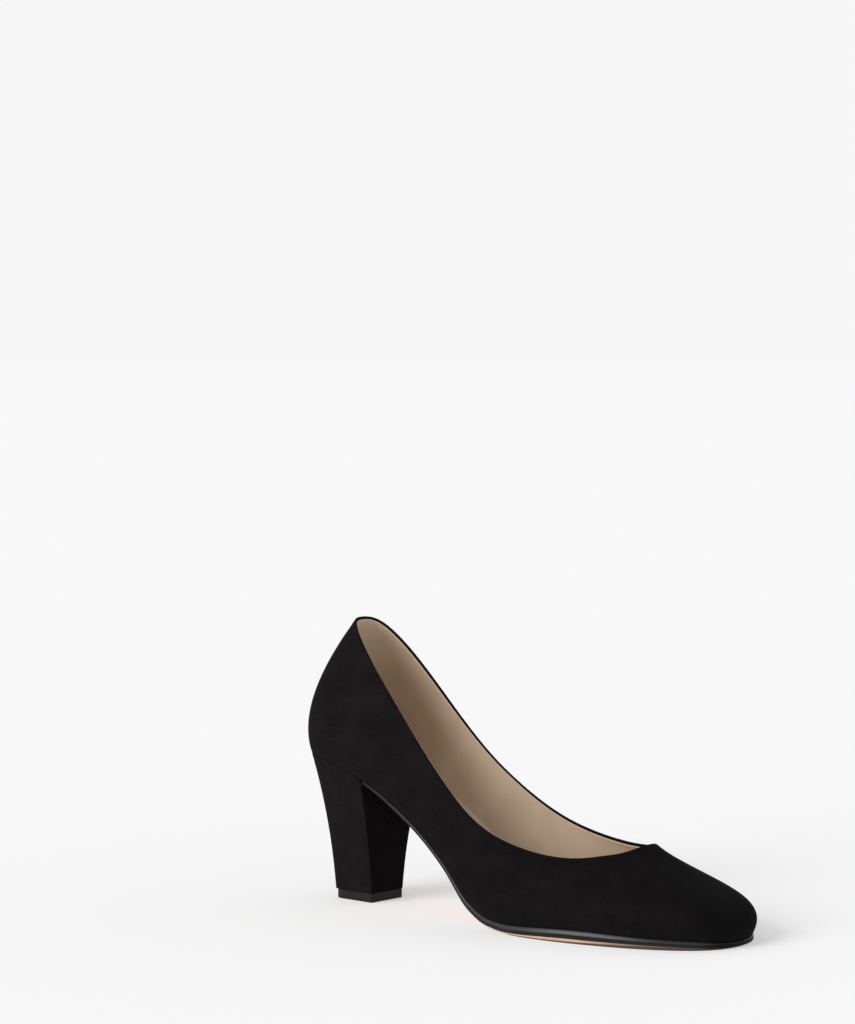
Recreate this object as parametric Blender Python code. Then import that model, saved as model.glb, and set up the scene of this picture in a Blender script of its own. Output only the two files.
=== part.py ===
"""Right-foot pump with a low-cut vamp and a tapered block heel.

Lengths are in metres. While the pieces are made, x runs forward from the rearmost point of the
back curve, y runs to the inner side of the shoe and z runs up from the floor. The last step hangs
them all on one empty, so that the origin is on the floor under the middle of the shoe.
"""

import math

import bmesh
import bpy
import numpy as np

# Driving sizes, for a women's EU 37
SHOE_LENGTH = 0.2340
BALL_WIDTH = 0.0780
BACK_HEIGHT = 0.1293
HEEL_HEIGHT = 0.0667
WALL = 0.0018
GAP = 0.0003

# Outsole and insole
SOLE_MARGIN = 0.0003
SOLE_BEVEL_IN = 0.0012
SOLE_BEVEL_SHARE = 0.24
INSOLE_THICKNESS = 0.0030

# Heel and its lift. The tip is the foot of the heel, placed by its middle and turned a little outwards.
# The taper is how fast the heel starts to narrow to it under the seat, where 1 would be an even
# narrowing all the way down.
BREAST_ALONG = 0.0442
TIP_ALONG = 0.0296
TIP_ACROSS = -0.0020
TIP_LENGTH = 0.0253
TIP_WIDTH = 0.0213
TIP_CORNER = 0.0051
TIP_TURN = math.radians(-4)
HEEL_TAPER = 1.6
LIFT_HEIGHT = 0.0041
LIFT_INSET = 0.0003
LIFT_BACK_INSET = 0.0010

# Fineness of the faceted solids
RIBS_PER_SECTION = 5
RIB_STEPS = 12
PLATE_STATIONS = 52
TOE_CROWDING = 1.5
HEEL_LEVELS = 8
HEEL_SIDE_STEPS = 32
HEEL_BREAST_STEPS = 6
OUTLINE_STEPS = 40
WELD = 1e-6
SHARP_ANGLE = math.radians(35)

# One row for each section of the last, from the back seam to the toe. The foot columns follow the
# feather edge, where the upper meets the sole, and the rim columns follow the top line. Places along
# the shoe are shares of its length, widths are shares of the ball width and rim heights are shares of
# the back height. Each rib bends from foot to rim by two handles, in shares of its own straight length.
SECTION_COLUMNS = (
    "along", "lateral", "medial",
    "rim_along", "rim_lateral", "rim_medial", "rim_height",
    "low_out", "low_up", "high_out", "high_down",
)
SECTIONS = {
    "heel_back": (0.0095, 0.000, 0.000, 0.106, 0.000, 0.000, 1.000, 0.080, 0.230, 0.280, 0.380),
    "heel_round": (0.037, 0.214, 0.214, 0.1245, 0.122, 0.122, 0.980, 0.082, 0.250, 0.268, 0.370),
    "heel_seat": (0.114, 0.316, 0.310, 0.190, 0.215, 0.215, 0.854, 0.085, 0.270, 0.120, 0.340),
    "breast": (0.189, 0.326, 0.270, 0.272, 0.257, 0.250, 0.686, 0.080, 0.250, 0.050, 0.330),
    "waist": (0.373, 0.345, 0.240, 0.404, 0.330, 0.310, 0.450, 0.120, 0.280, 0.020, 0.330),
    "ball_back": (0.518, 0.450, 0.320, 0.526, 0.382, 0.365, 0.317, 0.130, 0.300, 0.080, 0.300),
    "joint": (0.623, 0.500, 0.450, 0.638, 0.352, 0.365, 0.269, 0.110, 0.300, 0.190, 0.235),
    "toe_root": (0.781, 0.455, 0.475, 0.728, 0.228, 0.280, 0.271, 0.110, 0.360, 0.340, 0.205),
    "toe_side": (0.910, 0.318, 0.354, 0.766, 0.118, 0.172, 0.286, 0.140, 0.350, 0.420, 0.305),
    "toe_round": (0.965, 0.176, 0.232, 0.778, 0.040, 0.098, 0.298, 0.150, 0.285, 0.475, 0.335),
    "toe_tip": (0.984, -0.035, 0.035, 0.782, -0.030, 0.030, 0.302, 0.145, 0.265, 0.485, 0.345),
}

# One row for each place along the last's bottom: the height of the sole's ground side as a share of the
# heel height, and the thickness of the sole above it.
BOTTOM_COLUMNS = ("along", "ground", "sole")
BOTTOM = {
    "seat_back": (0.000, 1.000, 0.0013),
    "seat": (0.100, 0.955, 0.0013),
    "breast": (0.189, 0.851, 0.0013),
    "shank": (0.310, 0.595, 0.0021),
    "waist": (0.400, 0.347, 0.0025),
    "ball_back": (0.475, 0.104, 0.0034),
    "ball_rise": (0.530, 0.026, 0.0034),
    "joint": (0.600, 0.000, 0.0043),
    "tread": (0.730, 0.000, 0.0056),
    "toe_break": (0.860, 0.000, 0.0047),
    "toe_side": (0.945, 0.000, 0.0038),
    "toe_tip": (0.990, 0.000, 0.0022),
}

# Colour and roughness of each piece
BLACK_SUEDE = ((0.010, 0.010, 0.011, 1.0), 0.95)
BEIGE_LINING = ((0.560, 0.430, 0.310, 1.0), 0.60)
BLACK_SOLE = ((0.012, 0.012, 0.013, 1.0), 0.40)
BLACK_RUBBER = ((0.016, 0.016, 0.017, 1.0), 0.45)

# Columns of the section loop
LOOP_FOOT = slice(0, 2)
LOOP_RIM = slice(2, 5)
LOOP_HANDLES = slice(5, 9)


def clear_scene():
    for item in list(bpy.data.objects):
        bpy.data.objects.remove(item)


def column(table, columns, name):
    return np.array([row[columns.index(name)] for row in table.values()])


def steady_curve(knots, values, at):
    """A smooth curve through the values that never overshoots, so that a level stretch stays level."""
    step = np.diff(knots)
    slope = np.diff(values) / step
    tangent = np.concatenate([slope[:1], np.zeros(len(slope) - 1), slope[-1:]])
    for i in range(1, len(slope)):
        if slope[i - 1] * slope[i] > 0:
            tangent[i] = 2 * slope[i - 1] * slope[i] / (slope[i - 1] + slope[i])
    at = np.clip(at, knots[0], knots[-1])
    i = np.clip(np.searchsorted(knots, at, side="right") - 1, 0, len(step) - 1)
    t = (at - knots[i]) / step[i]
    rise = (3 - 2 * t) * t**2
    start = tangent[i] * step[i] * t * (1 - t) ** 2
    end = tangent[i + 1] * step[i] * t**2 * (t - 1)
    return values[i] + (values[i + 1] - values[i]) * rise + start + end


def closed_spline(knots, values, at):
    """A smooth closed curve through rows of values. The last row repeats the first."""
    step = np.diff(knots)
    count = len(step)
    slope = np.diff(values, axis=0) / step[:, None]
    system = np.zeros((count, count))
    for i in range(count):
        system[i, i - 1] += step[i - 1]
        system[i, i] += 2 * (step[i - 1] + step[i])
        system[i, (i + 1) % count] += step[i]
    bend = np.linalg.solve(system, 6 * (slope - np.roll(slope, 1, axis=0)))
    bend = np.vstack([bend, bend[:1]])
    i = np.clip(np.searchsorted(knots, at, side="right") - 1, 0, count - 1)
    t = (at - knots[i])[:, None]
    h = step[i][:, None]
    lean = slope[i] - h * (2 * bend[i] + bend[i + 1]) / 6
    return values[i] + t * lean + t**2 * bend[i] / 2 + t**3 * (bend[i + 1] - bend[i]) / (6 * h)


def bottom_at(along, name):
    """A column of the bottom table at any place along the shoe."""
    knots = column(BOTTOM, BOTTOM_COLUMNS, "along") * SHOE_LENGTH
    return steady_curve(knots, column(BOTTOM, BOTTOM_COLUMNS, name), along)


def ground_height(along):
    """Height of the sole's ground side, level on the floor under the ball of the foot."""
    return bottom_at(along, "ground") * HEEL_HEIGHT


def feather_height(along):
    """Height of the feather line, which is also the top face of the outsole and of the heel."""
    return ground_height(along) + bottom_at(along, "sole")


def section_loop():
    """The section table as one closed loop: out along the lateral side, back along the medial side."""
    part = {name: column(SECTIONS, SECTION_COLUMNS, name) for name in SECTION_COLUMNS}
    handles = [part[name] for name in ("low_out", "low_up", "high_out", "high_down")]

    def side(width, rim_width, sign):
        return np.column_stack([
            part["along"] * SHOE_LENGTH,
            sign * width * BALL_WIDTH,
            part["rim_along"] * SHOE_LENGTH,
            sign * rim_width * BALL_WIDTH,
            part["rim_height"] * BACK_HEIGHT,
            *handles,
        ])

    lateral = side(part["lateral"], part["rim_lateral"], -1)
    medial = side(part["medial"], part["rim_medial"], 1)
    return np.vstack([lateral, medial[-2:0:-1], lateral[:1]])


def loop_at(per_section):
    """The section loop with per_section steps between neighbouring sections."""
    rows = section_loop()
    chords = np.linalg.norm(np.diff(rows[:, LOOP_FOOT], axis=0), axis=1)
    knots = np.concatenate([[0], np.cumsum(chords)])
    share = np.arange(per_section) / per_section
    at = (knots[:-1, None] + chords[:, None] * share).ravel()
    return closed_spline(knots, rows, at)


def outward(loop):
    """Unit normals, in plan, of a closed loop that runs clockwise or anticlockwise round its middle."""
    along = np.roll(loop, -1, axis=0) - np.roll(loop, 1, axis=0)
    normal = np.column_stack([along[:, 1], -along[:, 0]])
    normal /= np.linalg.norm(normal, axis=1)[:, None]
    middle = loop.mean(axis=0)
    return normal if np.sum(normal * (loop - middle)) > 0 else -normal


def upper_skins():
    """Outer and inner skin of the upper, as grids of points: rib, step up the rib, coordinate."""
    loop = loop_at(RIBS_PER_SECTION)
    foot = loop[:, LOOP_FOOT]
    low = np.column_stack([foot, feather_height(foot[:, 0]) + GAP])
    high = loop[:, LOOP_RIM]
    length = np.linalg.norm(high - low, axis=1)
    low_out, low_up, high_out, high_down = (loop[:, LOOP_HANDLES] * length[:, None]).T
    low_handle = low + np.column_stack([outward(foot) * low_out[:, None], low_up])
    high_handle = high + np.column_stack([outward(high[:, :2]) * high_out[:, None], -high_down])
    t = np.linspace(0, 1, RIB_STEPS + 1)[None, :, None]
    outer = (
        low[:, None] * (1 - t) ** 3
        + 3 * low_handle[:, None] * t * (1 - t) ** 2
        + 3 * high_handle[:, None] * t**2 * (1 - t)
        + high[:, None] * t**3
    )
    around = np.roll(outer, -1, axis=0) - np.roll(outer, 1, axis=0)
    rising = np.gradient(outer, axis=1)
    normal = np.cross(around, rising)
    normal[:, 0, 2] = 0
    normal /= np.linalg.norm(normal, axis=2)[:, :, None]
    if np.sum(normal[:, 0, :2] * outward(foot)) < 0:
        normal = -normal
    inner = outer - WALL * normal
    inner[:, 0, 2] = feather_height(inner[:, 0, 0]) + GAP
    return outer, inner


def finish_object(name, bm, finish):
    """A named object with outward faces and its own Principled material."""
    bmesh.ops.remove_doubles(bm, verts=bm.verts, dist=WELD)
    bmesh.ops.recalc_face_normals(bm, faces=bm.faces)
    mesh = bpy.data.meshes.new(name)
    bm.to_mesh(mesh)
    bm.free()
    mesh.shade_smooth()
    mesh.set_sharp_from_angle(angle=SHARP_ANGLE)
    material = bpy.data.materials.new(name)
    material.use_nodes = True
    shader = material.node_tree.nodes["Principled BSDF"]
    shader.inputs["Base Color"].default_value, shader.inputs["Roughness"].default_value = finish
    mesh.materials.append(material)
    item = bpy.data.objects.new(name, mesh)
    bpy.context.collection.objects.link(item)
    return item


def add_strip(bm, first, second, closed):
    """Quads between two equally long rows of vertices, or triangles where the rows share a vertex."""
    count = len(first)
    for i in range(count if closed else count - 1):
        k = (i + 1) % count
        corners = dict.fromkeys((first[i], first[k], second[k], second[i]))
        bm.faces.new(tuple(corners))


def make_upper():
    """One hollow wall, open at the top line and underneath."""
    bm = bmesh.new()
    outer, inner = upper_skins()
    rings = [outer[:, j] for j in range(RIB_STEPS + 1)]
    rings += [inner[:, j] for j in range(RIB_STEPS, -1, -1)]
    verts = [[bm.verts.new(point) for point in ring] for ring in rings]
    for i in range(len(verts)):
        add_strip(bm, verts[i], verts[(i + 1) % len(verts)], closed=True)
    return finish_object("upper", bm, BLACK_SUEDE)


def outline_halves(inset):
    """Lateral and medial halves of the feather outline, moved inwards by inset, from heel to toe."""
    loop = loop_at(OUTLINE_STEPS)[:, LOOP_FOOT]
    loop = loop - outward(loop) * inset
    loop = np.roll(loop, -np.argmin(loop[:, 0]), axis=0)
    toe = np.argmax(loop[:, 0])
    lateral = loop[: toe + 1]
    medial = np.vstack([loop[:1], loop[:toe - 1:-1]])
    return lateral, medial


def plate_ring(inset, start, stations):
    """Plan points of one edge of a plate at each station: (along, lateral y, medial y)."""
    lateral, medial = outline_halves(inset)
    back = lateral[0, 0] if start is None else start
    along = back + (lateral[-1, 0] - back) * stations
    return np.column_stack([
        along,
        np.interp(along, lateral[:, 0], lateral[:, 1]),
        np.interp(along, medial[:, 0], medial[:, 1]),
    ])


def make_plate(name, rings, finish):
    """A plate built from edge rings, top face first, each with a lateral and a medial point per station."""
    bm = bmesh.new()
    sides = []
    for lateral, medial in rings:
        sides.append((
            [bm.verts.new(point) for point in lateral],
            [bm.verts.new(point) for point in medial],
        ))
    for upper, lower in zip(sides, sides[1:]):
        add_strip(bm, upper[0], lower[0], closed=False)
        add_strip(bm, upper[1], lower[1], closed=False)
    for lateral, medial in (sides[0], sides[-1]):
        add_strip(bm, lateral, medial, closed=False)
    bm.faces.new([lateral[0] for lateral, _ in sides] + [medial[0] for _, medial in reversed(sides)])
    return finish_object(name, bm, finish)


def lifted(ring, heights):
    """A plan ring as a lateral and a medial row of points at the given heights."""
    return (
        np.column_stack([ring[:, 0], ring[:, 1], heights]),
        np.column_stack([ring[:, 0], ring[:, 2], heights]),
    )


def make_outsole():
    """Forefoot and waist, from the heel breast to the toe, with a level tread and a bevelled lower edge."""
    stations = 1 - np.linspace(1, 0, PLATE_STATIONS) ** TOE_CROWDING
    start = BREAST_ALONG + GAP
    edge = plate_ring(-SOLE_MARGIN, start, stations)
    tread = plate_ring(SOLE_BEVEL_IN - SOLE_MARGIN, start, stations)
    bevel = bottom_at(edge[:, 0], "sole") * SOLE_BEVEL_SHARE
    rings = [
        lifted(edge, feather_height(edge[:, 0])),
        lifted(edge, ground_height(edge[:, 0]) + bevel),
        lifted(tread, ground_height(tread[:, 0])),
    ]
    return make_plate("outsole", rings, BLACK_SOLE)


def make_insole():
    """The footbed, which closes the upper from inside."""
    stations = (1 - np.cos(np.linspace(0, math.pi, PLATE_STATIONS))) / 2
    ring = plate_ring(WALL + GAP, None, stations)
    floor = feather_height(ring[:, 0]) + GAP
    rings = [lifted(ring, floor + INSOLE_THICKNESS), lifted(ring, floor)]
    return make_plate("insole", rings, BEIGE_LINING)


def tip_outline(inset, back_inset, count):
    """The outline of the heel's tip, from the lateral front corner round the back to the medial one."""
    half = TIP_WIDTH / 2 - inset
    front = TIP_LENGTH / 2 - inset
    back = back_inset - TIP_LENGTH / 2
    corner = TIP_CORNER
    turn = np.linspace(0, math.pi / 2, OUTLINE_STEPS)
    arc = np.column_stack([back + corner - corner * np.sin(turn), -half + corner - corner * np.cos(turn)])
    side = np.vstack([[front, -half], arc, [back, 0]])
    square = resampled(np.vstack([side, side[-2::-1] * [1, -1]]), count)
    cos, sin = math.cos(TIP_TURN), math.sin(TIP_TURN)
    return square @ np.array([[cos, sin], [-sin, cos]]) + [TIP_ALONG, TIP_ACROSS]


def resampled(line, count):
    """count + 1 points spaced evenly along a line of plan points."""
    run = np.concatenate([[0], np.cumsum(np.linalg.norm(np.diff(line, axis=0), axis=1))])
    at = np.linspace(0, run[-1], count + 1)
    return np.column_stack([np.interp(at, run, line[:, k]) for k in range(line.shape[1])])


def heel_seat_outline(count):
    """The feather outline round the heel seat, from the lateral end of the breast to the medial end."""
    lateral, medial = outline_halves(0)
    halves = []
    for half in (lateral, medial):
        stop = np.interp(BREAST_ALONG, half[:, 0], half[:, 1])
        halves.append(np.vstack([half[half[:, 0] < BREAST_ALONG], [BREAST_ALONG, stop]]))
    return resampled(np.vstack([halves[0][::-1], halves[1][1:]]), count)


def with_breast(outline):
    """An open outline closed by points across the breast, from the medial corner to the lateral one."""
    across = np.linspace(outline[-1], outline[0], HEEL_BREAST_STEPS + 1)[1:-1]
    return np.vstack([outline, across])


def make_heel():
    """The block, from the sloping seat down to the top of its lift."""
    bm = bmesh.new()
    seat = with_breast(heel_seat_outline(HEEL_SIDE_STEPS))
    tip = with_breast(tip_outline(0, 0, HEEL_SIDE_STEPS))
    foot = LIFT_HEIGHT + GAP
    rings = []
    for level in np.linspace(0, 1, HEEL_LEVELS + 1):
        share = HEEL_TAPER * level + (1 - HEEL_TAPER) * level**2
        plan = seat + (tip - seat) * share
        height = feather_height(seat[:, 0]) * (1 - level) + foot * level
        rings.append([bm.verts.new((x, y, z)) for (x, y), z in zip(plan, height)])
    for upper, lower in zip(rings, rings[1:]):
        add_strip(bm, upper, lower, closed=True)
    bm.faces.new(rings[-1])
    half = HEEL_SIDE_STEPS // 2
    lateral = rings[0][half::-1]
    medial = rings[0][half : HEEL_SIDE_STEPS + 1]
    add_strip(bm, lateral, medial, closed=False)
    bm.faces.new([lateral[-1], *reversed(rings[0][HEEL_SIDE_STEPS + 1 :]), medial[-1]])
    return finish_object("heel", bm, BLACK_SUEDE)


def make_top_lift():
    """The replaceable tip under the heel, a little smaller than the covered block above it."""
    bm = bmesh.new()
    plan = with_breast(tip_outline(LIFT_INSET, LIFT_BACK_INSET, HEEL_SIDE_STEPS))
    top = [bm.verts.new((x, y, LIFT_HEIGHT)) for x, y in plan]
    bottom = [bm.verts.new((x, y, 0)) for x, y in plan]
    add_strip(bm, top, bottom, closed=True)
    bm.faces.new(top)
    bm.faces.new(bottom)
    return finish_object("top_lift", bm, BLACK_RUBBER)


def hang_on_empty(pieces):
    """Parents the pieces to an empty that puts the origin under the middle of the shoe's box."""
    points = np.array([vert.co for piece in pieces for vert in piece.data.vertices])
    low, high = points.min(axis=0), points.max(axis=0)
    shoe = bpy.data.objects.new("pump_shoe", None)
    bpy.context.collection.objects.link(shoe)
    shoe.location = (-(low[0] + high[0]) / 2, -(low[1] + high[1]) / 2, 0)
    for piece in pieces:
        piece.parent = shoe


def main():
    clear_scene()
    hang_on_empty([make_upper(), make_insole(), make_outsole(), make_heel(), make_top_lift()])


main()
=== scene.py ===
"""Right-foot pump in black suede with a tapered block heel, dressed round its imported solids.

Lengths are in metres. The pieces are shaped as on the last: x runs forward from the back curve, y runs to
the inner side of the shoe and z runs up from the floor. Then they are set down where the solids are.
"""

import math

import bmesh
import bpy
import numpy as np
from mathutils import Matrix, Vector


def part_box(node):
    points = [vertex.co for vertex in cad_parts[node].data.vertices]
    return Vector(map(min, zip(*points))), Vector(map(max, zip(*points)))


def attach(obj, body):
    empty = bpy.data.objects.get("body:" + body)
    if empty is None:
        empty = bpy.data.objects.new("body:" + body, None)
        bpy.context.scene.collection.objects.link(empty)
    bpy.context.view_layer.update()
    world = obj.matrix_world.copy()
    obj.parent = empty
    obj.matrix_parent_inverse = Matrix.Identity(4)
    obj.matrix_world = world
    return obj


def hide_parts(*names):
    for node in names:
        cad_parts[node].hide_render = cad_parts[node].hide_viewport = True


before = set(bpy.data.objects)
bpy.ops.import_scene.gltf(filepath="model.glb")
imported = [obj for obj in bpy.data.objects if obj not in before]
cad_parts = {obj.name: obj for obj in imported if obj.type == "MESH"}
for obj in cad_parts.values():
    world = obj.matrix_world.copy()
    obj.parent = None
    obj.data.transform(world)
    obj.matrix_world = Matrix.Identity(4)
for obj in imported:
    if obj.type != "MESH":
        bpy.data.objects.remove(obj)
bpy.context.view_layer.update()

# Upper
# The outside of the shoe: one piece of black synthetic suede, pulled over the last and closed by a seam
# up the back. Its top edge is turned in over the lining, with no stitch showing, and its lower edge is
# tucked in at the sole.
SHOE_LENGTH = 0.2340
BALL_WIDTH = 0.0780
BACK_HEIGHT = 0.1293
HEEL_HEIGHT = 0.0667
WALL = 0.0018
GAP = 0.0003
SUEDE = 0.0011

# Sections of the last, from the back seam to the toe. Places along the shoe are shares of its length,
# widths are shares of the ball width and rim heights are shares of the back height. The handles that bend
# each rib are shares of the rib's own straight length.
SECTION_COLUMNS = (
    "along", "lateral", "medial",
    "rim_along", "rim_lateral", "rim_medial", "rim_height",
    "low_out", "low_up", "high_out", "high_down",
)
SECTIONS = {
    "heel_back": (0.0095, 0.000, 0.000, 0.106, 0.000, 0.000, 1.000, 0.080, 0.230, 0.280, 0.380),
    "heel_round": (0.037, 0.214, 0.214, 0.1245, 0.122, 0.122, 0.980, 0.082, 0.250, 0.268, 0.370),
    "heel_seat": (0.114, 0.316, 0.310, 0.190, 0.215, 0.215, 0.854, 0.085, 0.270, 0.120, 0.340),
    "breast": (0.189, 0.326, 0.270, 0.272, 0.257, 0.250, 0.686, 0.080, 0.250, 0.050, 0.330),
    "waist": (0.373, 0.345, 0.240, 0.404, 0.330, 0.310, 0.450, 0.120, 0.280, 0.020, 0.330),
    "ball_back": (0.518, 0.450, 0.320, 0.526, 0.382, 0.365, 0.317, 0.130, 0.300, 0.080, 0.300),
    "joint": (0.623, 0.500, 0.450, 0.638, 0.352, 0.365, 0.269, 0.110, 0.300, 0.190, 0.235),
    "toe_root": (0.781, 0.455, 0.475, 0.728, 0.228, 0.280, 0.271, 0.110, 0.360, 0.340, 0.205),
    "toe_side": (0.910, 0.318, 0.354, 0.766, 0.118, 0.172, 0.286, 0.140, 0.350, 0.420, 0.305),
    "toe_round": (0.965, 0.176, 0.232, 0.778, 0.040, 0.098, 0.298, 0.150, 0.285, 0.475, 0.335),
    "toe_tip": (0.984, -0.035, 0.035, 0.782, -0.030, 0.030, 0.302, 0.145, 0.265, 0.485, 0.345),
}

# Height of the sole's ground side, as a share of the heel height, and the sole's thickness above it.
BOTTOM_COLUMNS = ("along", "ground", "sole")
BOTTOM = {
    "seat_back": (0.000, 1.000, 0.0013),
    "seat": (0.100, 0.955, 0.0013),
    "breast": (0.189, 0.851, 0.0013),
    "shank": (0.310, 0.595, 0.0021),
    "waist": (0.400, 0.347, 0.0025),
    "ball_back": (0.475, 0.104, 0.0034),
    "ball_rise": (0.530, 0.026, 0.0034),
    "joint": (0.600, 0.000, 0.0043),
    "tread": (0.730, 0.000, 0.0056),
    "toe_break": (0.860, 0.000, 0.0047),
    "toe_side": (0.945, 0.000, 0.0038),
    "toe_tip": (0.990, 0.000, 0.0022),
}


def column(table, columns, name):
    """One named column of a table of rows."""
    return np.array([row[columns.index(name)] for row in table.values()])


def steady_curve(knots, values, at):
    """A smooth curve through the values that never overshoots, so that a level stretch stays level."""
    step = np.diff(knots)
    slope = np.diff(values) / step
    tangent = np.concatenate([slope[:1], np.zeros(len(slope) - 1), slope[-1:]])
    for i in range(1, len(slope)):
        if slope[i - 1] * slope[i] > 0:
            tangent[i] = 2 * slope[i - 1] * slope[i] / (slope[i - 1] + slope[i])
    at = np.clip(at, knots[0], knots[-1])
    i = np.clip(np.searchsorted(knots, at, side="right") - 1, 0, len(step) - 1)
    t = (at - knots[i]) / step[i]
    rise = (3 - 2 * t) * t**2
    start = tangent[i] * step[i] * t * (1 - t) ** 2
    end = tangent[i + 1] * step[i] * t**2 * (t - 1)
    return values[i] + (values[i + 1] - values[i]) * rise + start + end


def closed_spline(knots, values, at):
    """A smooth closed curve through rows of values. The last row repeats the first."""
    step = np.diff(knots)
    count = len(step)
    slope = np.diff(values, axis=0) / step[:, None]
    system = np.zeros((count, count))
    for i in range(count):
        system[i, i - 1] += step[i - 1]
        system[i, i] += 2 * (step[i - 1] + step[i])
        system[i, (i + 1) % count] += step[i]
    bend = np.linalg.solve(system, 6 * (slope - np.roll(slope, 1, axis=0)))
    bend = np.vstack([bend, bend[:1]])
    i = np.clip(np.searchsorted(knots, at, side="right") - 1, 0, count - 1)
    t = (at - knots[i])[:, None]
    h = step[i][:, None]
    lean = slope[i] - h * (2 * bend[i] + bend[i + 1]) / 6
    return values[i] + t * lean + t**2 * bend[i] / 2 + t**3 * (bend[i + 1] - bend[i]) / (6 * h)


def bottom_at(along, name):
    """A column of the bottom table at any place along the shoe."""
    knots = column(BOTTOM, BOTTOM_COLUMNS, "along") * SHOE_LENGTH
    return steady_curve(knots, column(BOTTOM, BOTTOM_COLUMNS, name), along)


def ground_height(along):
    """Height of the sole's ground side."""
    return bottom_at(along, "ground") * HEEL_HEIGHT


def feather_height(along):
    """Height of the feather line, where the upper meets the sole."""
    return ground_height(along) + bottom_at(along, "sole")


def section_loop():
    """The section table as one closed loop: out along the lateral side, back along the medial side."""
    part = {name: column(SECTIONS, SECTION_COLUMNS, name) for name in SECTION_COLUMNS}
    handles = [part[name] for name in ("low_out", "low_up", "high_out", "high_down")]

    def side(width, rim_width, sign):
        return np.column_stack([
            part["along"] * SHOE_LENGTH,
            sign * width * BALL_WIDTH,
            part["rim_along"] * SHOE_LENGTH,
            sign * rim_width * BALL_WIDTH,
            part["rim_height"] * BACK_HEIGHT,
            *handles,
        ])

    lateral = side(part["lateral"], part["rim_lateral"], -1)
    medial = side(part["medial"], part["rim_medial"], 1)
    return np.vstack([lateral, medial[-2:0:-1], lateral[:1]])


def outward(loop):
    """Unit normals, in plan, of a closed loop."""
    along = np.roll(loop, -1, axis=0) - np.roll(loop, 1, axis=0)
    normal = np.column_stack([along[:, 1], -along[:, 0]])
    normal /= np.linalg.norm(normal, axis=1)[:, None]
    return normal if np.sum(normal * (loop - loop.mean(axis=0))) > 0 else -normal


loop_rows = section_loop()
loop_chords = np.linalg.norm(np.diff(loop_rows[:, :2], axis=0), axis=1)
loop_knots = np.concatenate([[0], np.cumsum(loop_chords)])


def even_places(per_section):
    """Places round the loop with the same number of steps in each section."""
    share = np.arange(per_section) / per_section
    return (loop_knots[:-1, None] + loop_chords[:, None] * share).ravel()


# Ribs stand closer together beside the back seam, so that its groove has a shape.
RIBS_PER_SECTION = 18
RIBS_BY_THE_SEAM = (0.00025, 0.0005, 0.0013)
seam_ribs = [place for step in RIBS_BY_THE_SEAM for place in (step, loop_knots[-1] - step)]
rib_places = np.sort(np.concatenate([even_places(RIBS_PER_SECTION), seam_ribs]))
rib_loop = closed_spline(loop_knots, loop_rows, rib_places)
rib_foot = np.column_stack([rib_loop[:, :2], feather_height(rib_loop[:, 0]) + GAP])
rib_rim = rib_loop[:, 2:5]
rib_length = np.linalg.norm(rib_rim - rib_foot, axis=1)
low_out, low_up, high_out, high_down = (rib_loop[:, 5:9] * rib_length[:, None]).T
foot_handle = rib_foot + np.column_stack([outward(rib_foot[:, :2]) * low_out[:, None], low_up])
rim_handle = rib_rim + np.column_stack([outward(rib_rim[:, :2]) * high_out[:, None], -high_down])


def upper_ring(t, depth=0.0, lift=0.0):
    """A ring of points round the upper at t, from 0 at the feather line to 1 at the top line.

    depth goes in from the outside of the wall, and lift goes on along the ribs.
    """
    ring = (
        rib_foot * (1 - t) ** 3
        + 3 * foot_handle * t * (1 - t) ** 2
        + 3 * rim_handle * t**2 * (1 - t)
        + rib_rim * t**3
    )
    rising = (
        (foot_handle - rib_foot) * (1 - t) ** 2
        + 2 * (rim_handle - foot_handle) * t * (1 - t)
        + (rib_rim - rim_handle) * t**2
    )
    rising /= np.linalg.norm(rising, axis=1)[:, None]
    around = np.roll(ring, -1, axis=0) - np.roll(ring, 1, axis=0)
    normal = np.cross(around, rising)
    normal /= np.linalg.norm(normal, axis=1)[:, None]
    if np.sum(normal[:, :2] * outward(rib_foot[:, :2])) < 0:
        normal = -normal
    return ring + rising * np.reshape(lift, (-1, 1)) - normal * np.reshape(depth, (-1, 1))


# The back seam is a narrow groove between two swellings, where the seam's turnings lie underneath.
SEAM_GROOVE = 0.00035
SEAM_GROOVE_WIDTH = 0.00045
SEAM_SWELL = 0.00012
SEAM_SWELL_AWAY = 0.0016
SEAM_SWELL_WIDTH = 0.0009
from_seam = np.minimum(rib_places, loop_knots[-1] - rib_places)
seam_depth = SEAM_GROOVE * np.exp(-((from_seam / SEAM_GROOVE_WIDTH) ** 2))
seam_depth -= SEAM_SWELL * np.exp(-(((from_seam - SEAM_SWELL_AWAY) / SEAM_SWELL_WIDTH) ** 2))

# Soft troughs with low ridges beside them, seen from the side: place along as a share of the length,
# height, lean from the level in degrees, half length, half width and depth. The ridges lie so many half
# widths away from the trough.
CREASE_COLUMNS = ("side", "along", "height", "lean", "length", "width", "depth")
CREASES = {
    "lateral_counter_edge": (-1, 0.290, 0.073, 118, 0.016, 0.0050, 0.00020),
    "lateral_waist_hollow": (-1, 0.420, 0.040, 148, 0.024, 0.0060, 0.00026),
    "lateral_ball_flex": (-1, 0.600, 0.019, 66, 0.012, 0.0046, 0.00024),
    "lateral_toe_flex": (-1, 0.690, 0.017, 74, 0.011, 0.0040, 0.00018),
    "medial_counter_edge": (1, 0.285, 0.074, 120, 0.016, 0.0050, 0.00020),
    "medial_waist_hollow": (1, 0.430, 0.039, 146, 0.024, 0.0060, 0.00026),
    "medial_ball_flex": (1, 0.615, 0.019, 68, 0.012, 0.0046, 0.00024),
    "medial_toe_flex": (1, 0.710, 0.017, 76, 0.011, 0.0040, 0.00018),
}
RIDGE_SHARE = 0.35
RIDGE_AWAY = 2
SIDE_BLEND = 0.004


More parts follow.
